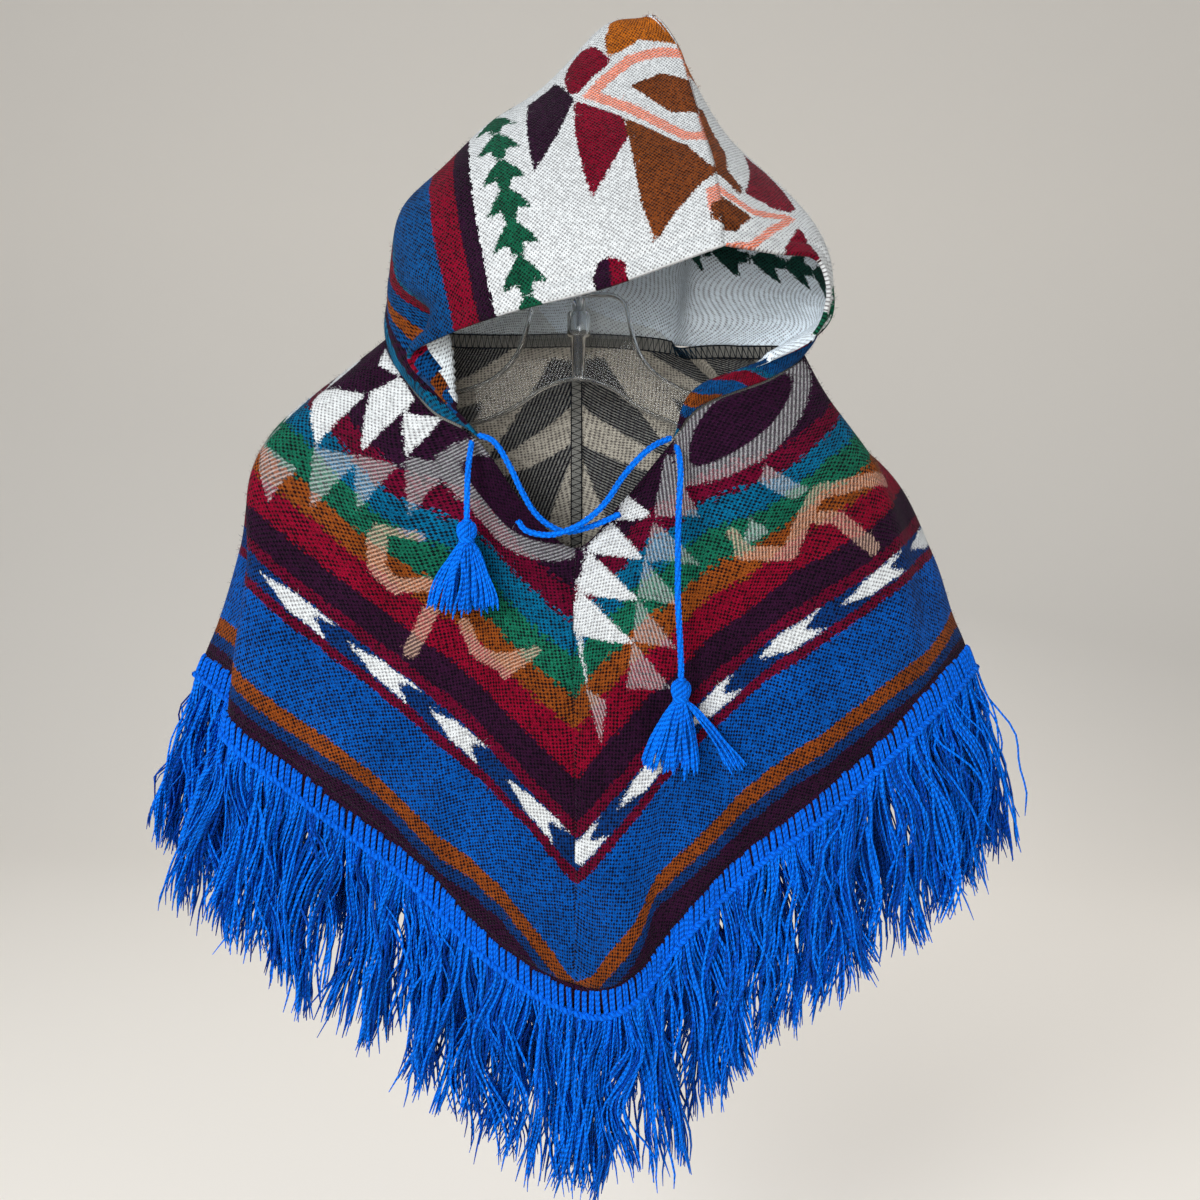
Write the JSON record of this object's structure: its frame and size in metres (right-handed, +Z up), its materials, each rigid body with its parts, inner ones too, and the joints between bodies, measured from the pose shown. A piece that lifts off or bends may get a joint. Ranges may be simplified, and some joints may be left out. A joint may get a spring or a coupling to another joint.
{
  "type": "hooded poncho on a hanger",
  "caption": "Child's hooded poncho of striped blanket cloth with a V-shaped fringed hem, drawcord tassels and a pointed hood, hung on a clear plastic hanger.",
  "frame": {"origin": "inside top of the hanger's hook, where a rod or peg carries it", "axes": "+Z up, +X to the viewer's right, the front of the poncho faces -Y"},
  "size_m": [0.405, 0.1053, 0.5497],
  "materials": {
    "blanket_cloth": "brushed wool-blend blanket cloth, woven stripes and stepped motifs, soft raised nap",
    "hood_cloth": "cream ground of the same blanket cloth with woven motifs, soft raised nap",
    "yarn": "bright blue acrylic yarn, twisted, matt",
    "clear_plastic": "clear moulded polystyrene, glossy",
    "hook_steel": "bright plated wire"
  },
  "bodies": {
    "root": {"body_left": "blanket_cloth", "body_right": "blanket_cloth", "hood_left": "hood_cloth", "hood_right": "hood_cloth", "hem_band_front_left": "yarn", "hem_band_back_left": "yarn", "hem_band_front_right": "yarn", "hem_band_back_right": "yarn", "cord_left": "yarn", "cord_right": "yarn", "cord_left_inner": "yarn", "cord_right_inner": "yarn", "tassel_left": "yarn", "tassel_right": "yarn", "hanger": "clear_plastic", "hanger_hook": "hook_steel"}
  },
  "joints": []
}
